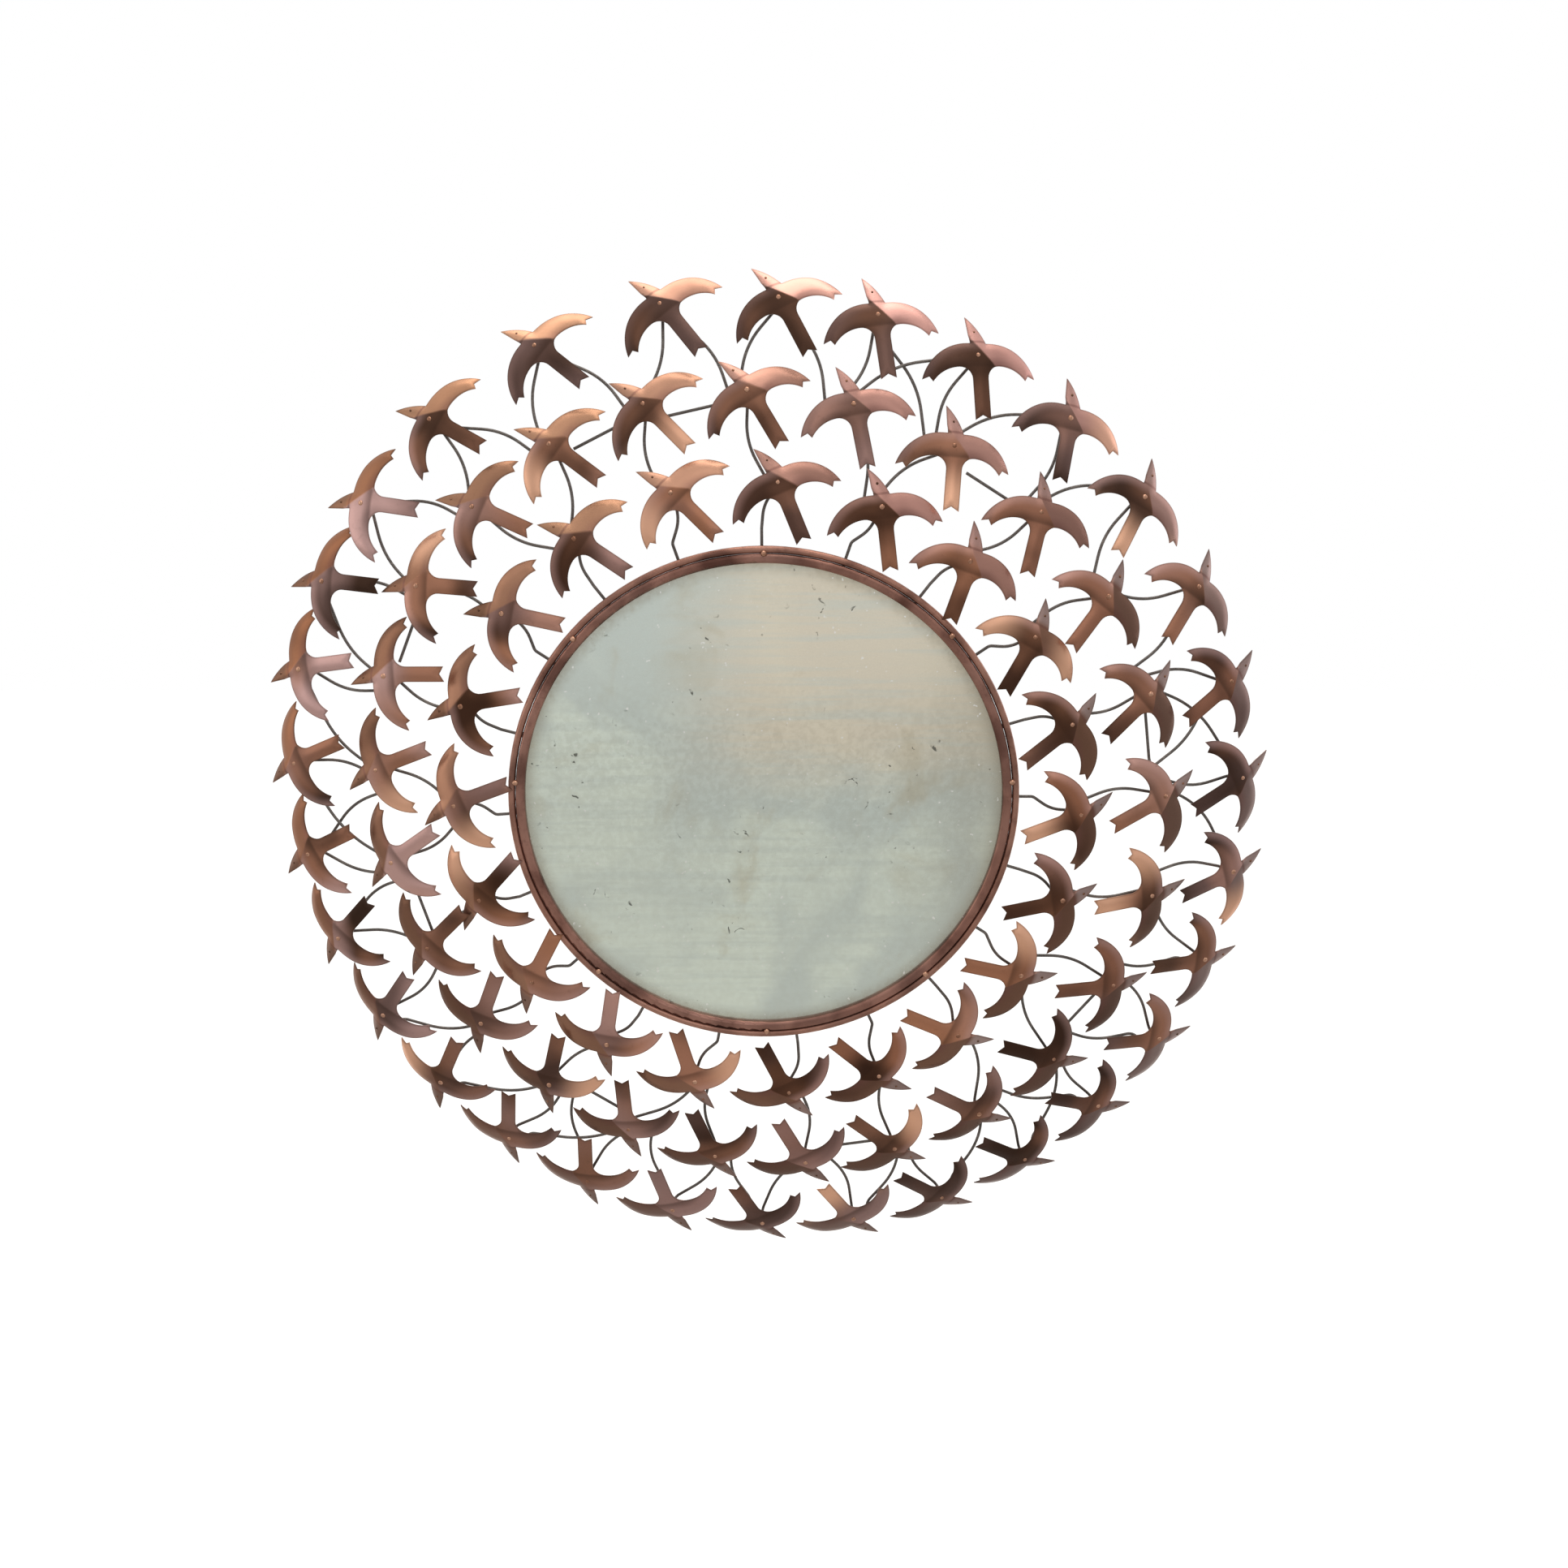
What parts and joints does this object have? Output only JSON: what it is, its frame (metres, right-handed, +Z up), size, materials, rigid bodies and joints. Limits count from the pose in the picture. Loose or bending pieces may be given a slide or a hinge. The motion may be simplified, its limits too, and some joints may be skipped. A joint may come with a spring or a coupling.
{
  "type": "round wall mirror",
  "caption": "Round wall mirror: aged glass in a copper ring, with cut copper birds on thin wires flying outward all round it in a shallow dome.",
  "frame": {"origin": "on the wall plane, midway between the two hanging eyes", "axes": "+X to the viewer's right, +Y into the wall, +Z up; the glass faces -Y"},
  "size_m": [0.9987, 0.0883, 1.0119],
  "materials": {
    "aged_mirror": "old silvered glass, mottled and foxed",
    "liner_card": "grey card",
    "plywood": "plain plywood",
    "hoop_copper": "dark copper patina",
    "ring_copper": "dark copper patina, worn bright on the edges",
    "rod_copper": "dark copper patina, worn bright on top",
    "solder": "filed solder",
    "button_brass": "plain sheet brass",
    "screw_steel": "plain steel",
    "batten_wood": "planed softwood",
    "plate_steel": "plain steel",
    "felt": "dark felt",
    "inner_bird_copper": "hammered copper, heat-coloured",
    "middle_bird_copper": "hammered copper, heat-coloured",
    "outer_bird_copper": "hammered copper, heat-coloured",
    "dark_wire": "blackened steel wire"
  },
  "bodies": {
    "mirror": {"mirror_glass": "aged_mirror", "liner_card": "liner_card", "backing_board": "plywood", "hoop_band": "hoop_copper", "bezel_ring": "ring_copper", "outer_rod": "rod_copper", "braze_beads": "solder", "button_screws": "screw_steel", "upper_batten": "batten_wood", "lower_batten": "batten_wood", "batten_screws": "screw_steel", "hanger_plate_left": "plate_steel", "hanger_plate_right": "plate_steel", "hanger_screws": "screw_steel", "wall_pads": "felt", "inner_birds_1": "inner_bird_copper", "inner_birds_2": "inner_bird_copper", "inner_birds_3": "inner_bird_copper", "inner_birds_4": "inner_bird_copper", "inner_birds_5": "inner_bird_copper", "middle_birds_1": "middle_bird_copper", "middle_birds_2": "middle_bird_copper", "middle_birds_3": "middle_bird_copper", "middle_birds_4": "middle_bird_copper", "middle_birds_5": "middle_bird_copper", "outer_birds_1": "outer_bird_copper", "outer_birds_2": "outer_bird_copper", "outer_birds_3": "outer_bird_copper", "outer_birds_4": "outer_bird_copper", "outer_birds_5": "outer_bird_copper", "inner_wires_1": "dark_wire", "inner_wires_2": "dark_wire", "inner_wires_3": "dark_wire", "inner_wires_4": "dark_wire", "inner_wires_5": "dark_wire", "middle_wires_1": "dark_wire", "middle_wires_2": "dark_wire", "middle_wires_3": "dark_wire", "middle_wires_4": "dark_wire", "middle_wires_5": "dark_wire", "outer_wires_1": "dark_wire", "outer_wires_2": "dark_wire", "outer_wires_3": "dark_wire", "outer_wires_4": "dark_wire", "outer_wires_5": "dark_wire", "free_wires": "dark_wire"},
    "button_1": {"turn_button_1": "button_brass"},
    "button_2": {"turn_button_2": "button_brass"},
    "button_3": {"turn_button_3": "button_brass"},
    "button_4": {"turn_button_4": "button_brass"},
    "button_5": {"turn_button_5": "button_brass"},
    "button_6": {"turn_button_6": "button_brass"}
  },
  "joints": [
    {"name": "button_1_turn", "type": "hinge", "parent": "mirror", "child": "button_1", "pos_m": [0.1076, -0.059, 0.03637], "axis": [0, 1, 0], "range_deg": [-90, 90]},
    {"name": "button_2_turn", "type": "hinge", "parent": "mirror", "child": "button_2", "pos_m": [0.2152, -0.059, -0.15], "axis": [0, 1, 0], "range_deg": [-90, 90]},
    {"name": "button_3_turn", "type": "hinge", "parent": "mirror", "child": "button_3", "pos_m": [0.1076, -0.059, -0.33637], "axis": [0, 1, 0], "range_deg": [-90, 90]},
    {"name": "button_4_turn", "type": "hinge", "parent": "mirror", "child": "button_4", "pos_m": [-0.1076, -0.059, -0.33637], "axis": [0, 1, 0], "range_deg": [-90, 90]},
    {"name": "button_5_turn", "type": "hinge", "parent": "mirror", "child": "button_5", "pos_m": [-0.2152, -0.059, -0.15], "axis": [0, 1, 0], "range_deg": [-90, 90]},
    {"name": "button_6_turn", "type": "hinge", "parent": "mirror", "child": "button_6", "pos_m": [-0.1076, -0.059, 0.03637], "axis": [0, 1, 0], "range_deg": [-90, 90]}
  ]
}
